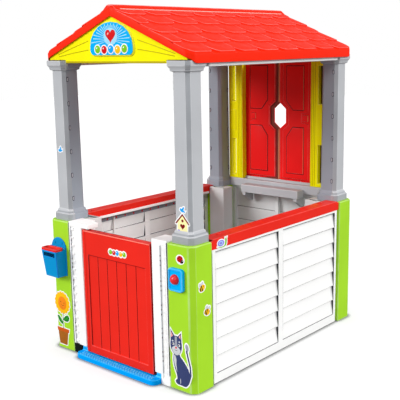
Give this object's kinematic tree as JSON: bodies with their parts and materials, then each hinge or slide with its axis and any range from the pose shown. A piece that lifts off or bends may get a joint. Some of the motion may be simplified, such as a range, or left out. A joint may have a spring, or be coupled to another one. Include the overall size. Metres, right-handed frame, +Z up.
{
  "type": "playhouse",
  "caption": "Open-sided plastic playhouse with a pitched tiled roof on four columns, louvred half walls, swinging half gate, back shutters, mailbox and doorbell.",
  "frame": {"origin": "on the ground, at the middle of the outer box's footprint", "axes": "+Z up, the gate side faces -Y, +X towards the doorbell's side"},
  "size_m": [0.792, 1.158, 1.4],
  "materials": {
    "lime_plastic": "satin moulded",
    "grey_plastic": "fine satin",
    "white_plastic": "fine satin",
    "gate_red_plastic": "satin moulded",
    "roof_red_plastic": "satin moulded",
    "shutter_red_plastic": "satin moulded",
    "yellow_plastic": "satin moulded",
    "sky_blue_plastic": "satin moulded",
    "mailbox_blue_plastic": "satin moulded",
    "steel": "zinc plated"
  },
  "bodies": {
    "house": {"corner_post_front_left": "lime_plastic", "corner_liner_front_left": "white_plastic", "column_outer_front_left": "grey_plastic", "column_inner_front_left": "grey_plastic", "corner_post_front_right": "lime_plastic", "corner_liner_front_right": "white_plastic", "column_outer_front_right": "grey_plastic", "column_inner_front_right": "grey_plastic", "corner_post_back_left": "lime_plastic", "corner_liner_back_left": "white_plastic", "column_outer_back_left": "grey_plastic", "column_inner_back_left": "grey_plastic", "corner_post_back_right": "lime_plastic", "corner_liner_back_right": "white_plastic", "column_outer_back_right": "grey_plastic", "column_inner_back_right": "grey_plastic", "side_panel_left": "white_plastic", "side_rail_left": "gate_red_plastic", "rail_peg_front_left": "gate_red_plastic", "rail_peg_back_left": "gate_red_plastic", "jamb_left": "white_plastic", "window_frame_left": "yellow_plastic", "shutter_pin_top_left": "steel", "shutter_pin_bottom_left": "steel", "roof_left": "roof_red_plastic", "eave_beam_left": "grey_plastic", "side_panel_right": "white_plastic", "side_rail_right": "gate_red_plastic", "rail_peg_front_right": "gate_red_plastic", "rail_peg_back_right": "gate_red_plastic", "jamb_right": "white_plastic", "window_frame_right": "yellow_plastic", "shutter_pin_top_right": "steel", "shutter_pin_bottom_right": "steel", "roof_right": "roof_red_plastic", "eave_beam_right": "grey_plastic", "threshold_step": "sky_blue_plastic", "back_panel": "white_plastic", "back_sill": "grey_plastic", "shelf": "grey_plastic", "shelf_bracket_left": "grey_plastic", "shelf_bracket_right": "grey_plastic", "ridge_cap": "roof_red_plastic", "gable_front": "yellow_plastic", "gable_back": "yellow_plastic", "gable_plaque": "sky_blue_plastic", "mailbox_body": "mailbox_blue_plastic", "mailbox_hinge_pin": "steel", "mailbox_screw_left": "steel", "mailbox_screw_right": "steel", "doorbell_plate": "sky_blue_plastic", "doorbell_spring": "steel"},
    "gate": {"gate_front_shell": "gate_red_plastic", "gate_back_shell": "gate_red_plastic", "gate_pin_top": "steel", "gate_pin_bottom": "steel"},
    "shutter_left": {"shutter_left": "shutter_red_plastic"},
    "shutter_right": {"shutter_right": "shutter_red_plastic"},
    "mailbox_lid": {"mailbox_lid": "gate_red_plastic"},
    "doorbell_button": {"doorbell_button": "gate_red_plastic"}
  },
  "joints": [
    {"name": "gate_hinge", "type": "hinge", "parent": "house", "child": "gate", "pos_m": [-0.176, -0.505, 0.28], "axis": [0, 0, -1], "range_deg": [0, 100]},
    {"name": "shutter_left_hinge", "type": "hinge", "parent": "house", "child": "shutter_left", "pos_m": [-0.208, 0.571, 0.89], "axis": [0, 0, 1], "range_deg": [0, 110]},
    {"name": "shutter_right_hinge", "type": "hinge", "parent": "house", "child": "shutter_right", "pos_m": [0.208, 0.571, 0.89], "axis": [0, 0, -1], "range_deg": [0, 110]},
    {"name": "mailbox_lid_hinge", "type": "hinge", "parent": "house", "child": "mailbox_lid", "pos_m": [-0.339, -0.5305, 0.4415], "axis": [-1, 0, 0], "range_deg": [0, 90]},
    {"name": "doorbell_button_slide", "type": "slide", "parent": "house", "child": "doorbell_button", "axis": [0, 1, 0], "range_m": [0, 0.004], "stiffness_N_per_m": 250, "springref_m": -0.004, "deforming": ["doorbell_spring"]}
  ]
}
